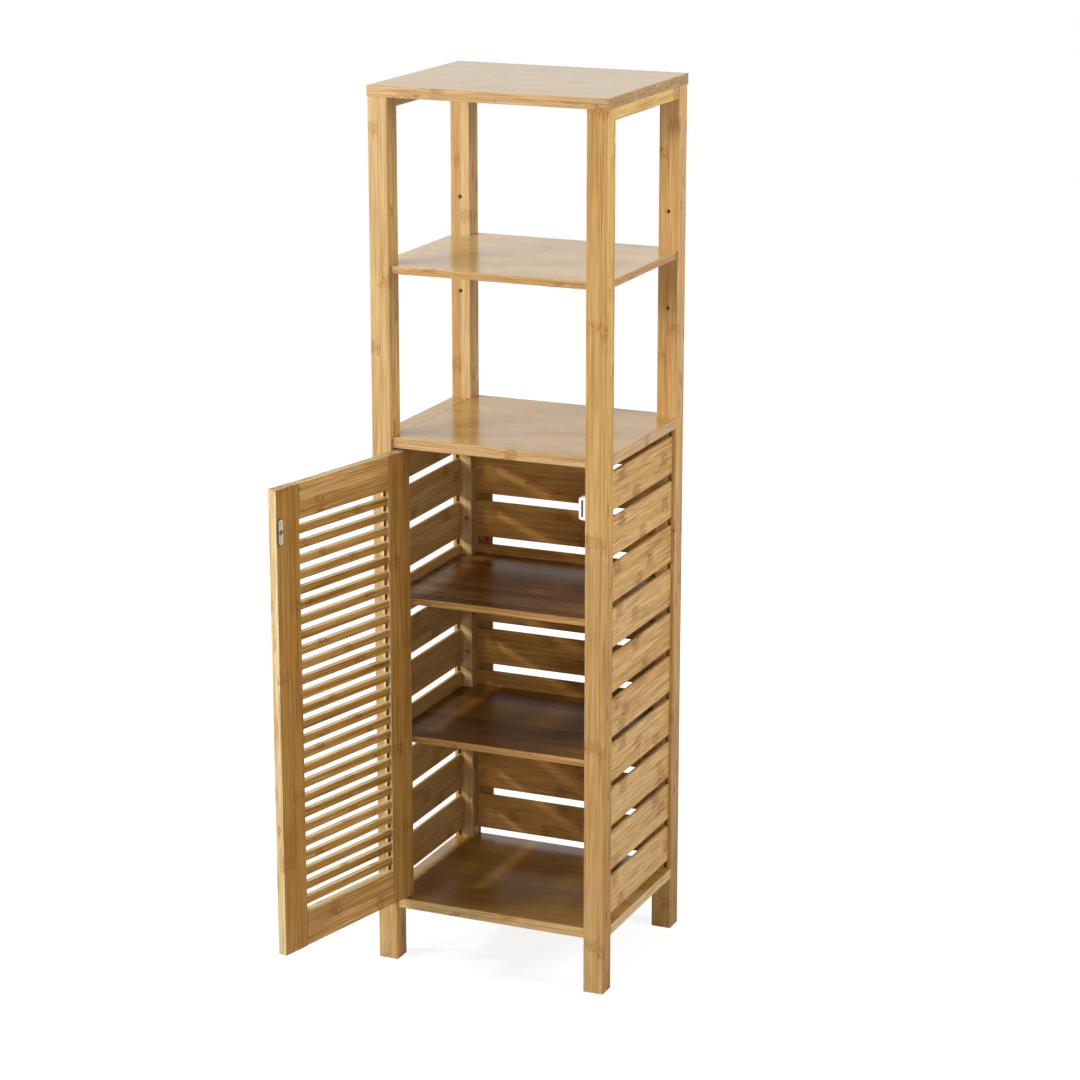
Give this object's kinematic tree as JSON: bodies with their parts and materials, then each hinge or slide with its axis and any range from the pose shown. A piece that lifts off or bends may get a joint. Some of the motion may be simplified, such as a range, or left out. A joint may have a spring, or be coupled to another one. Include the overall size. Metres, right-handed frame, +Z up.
{
  "type": "linen cabinet",
  "caption": "Tall narrow bamboo linen cabinet: open bays with a loose shelf over a slatted cupboard, whose louvred door turns on pivot pins at its left edge.",
  "frame": {"origin": "on the floor, in the middle of the front left leg's foot", "axes": "+X to the right as seen from the front, +Y to the back, +Z up; the door is stored standing 103 degrees open"},
  "size_m": [0.4194, 0.6147, 1.4],
  "materials": {
    "bamboo_legs": "light bamboo under a satin lacquer, with knuckles along the culm strips",
    "bamboo_slats": "light bamboo under a satin lacquer",
    "bamboo_boards": "laminated bamboo strips under a satin lacquer, grain along the width",
    "bamboo_door": "light bamboo under a satin lacquer",
    "dowels": "bare fluted wood",
    "white_plastic": "moulded, matt",
    "dark_steel": "dark magnet between steel faces",
    "bright_steel": "zinc plated"
  },
  "bodies": {
    "cabinet": {"leg_front_left": "bamboo_legs", "leg_front_right": "bamboo_legs", "leg_back_left": "bamboo_legs", "leg_back_right": "bamboo_legs", "top_board": "bamboo_boards", "top_rail_left": "bamboo_slats", "top_rail_right": "bamboo_slats", "open_shelf": "bamboo_boards", "deck_board": "bamboo_boards", "deck_strip": "bamboo_boards", "bottom_board": "bamboo_boards", "upper_shelf": "bamboo_boards", "lower_shelf": "bamboo_boards", "left_slat_1": "bamboo_slats", "left_slat_2": "bamboo_slats", "left_slat_3": "bamboo_slats", "left_slat_4": "bamboo_slats", "left_slat_5": "bamboo_slats", "left_slat_6": "bamboo_slats", "left_slat_7": "bamboo_slats", "left_slat_8": "bamboo_slats", "left_slat_9": "bamboo_slats", "left_slat_10": "bamboo_slats", "right_slat_1": "bamboo_slats", "right_slat_2": "bamboo_slats", "right_slat_3": "bamboo_slats", "right_slat_4": "bamboo_slats", "right_slat_5": "bamboo_slats", "right_slat_6": "bamboo_slats", "right_slat_7": "bamboo_slats", "right_slat_8": "bamboo_slats", "right_slat_9": "bamboo_slats", "right_slat_10": "bamboo_slats", "back_slat_1": "bamboo_slats", "back_slat_2": "bamboo_slats", "back_slat_3": "bamboo_slats", "back_slat_4": "bamboo_slats", "back_slat_5": "bamboo_slats", "back_slat_6": "bamboo_slats", "back_slat_7": "bamboo_slats", "back_slat_8": "bamboo_slats", "back_slat_9": "bamboo_slats", "back_slat_10": "bamboo_slats", "back_batten_left": "bamboo_slats", "back_batten_right": "bamboo_slats", "catch_housing": "white_plastic", "catch_magnet": "dark_steel", "catch_screws": "bright_steel", "pivot_pins": "bright_steel", "shelf_pins": "bright_steel", "frame_dowels": "dowels"},
    "door": {"door_stile_hinge": "bamboo_door", "door_stile_free": "bamboo_door", "door_rail_top": "bamboo_door", "door_rail_bottom": "bamboo_door", "door_slats": "bamboo_door", "strike_plate": "bright_steel", "strike_screw": "bright_steel", "pivot_bush_top": "white_plastic", "pivot_bush_bottom": "white_plastic"}
  },
  "joints": [
    {"name": "door_hinge", "type": "hinge", "parent": "cabinet", "child": "door", "pos_m": [0.0295, -0.006, 0.476], "axis": [0, 0, 1], "range_deg": [-8, 103]}
  ]
}
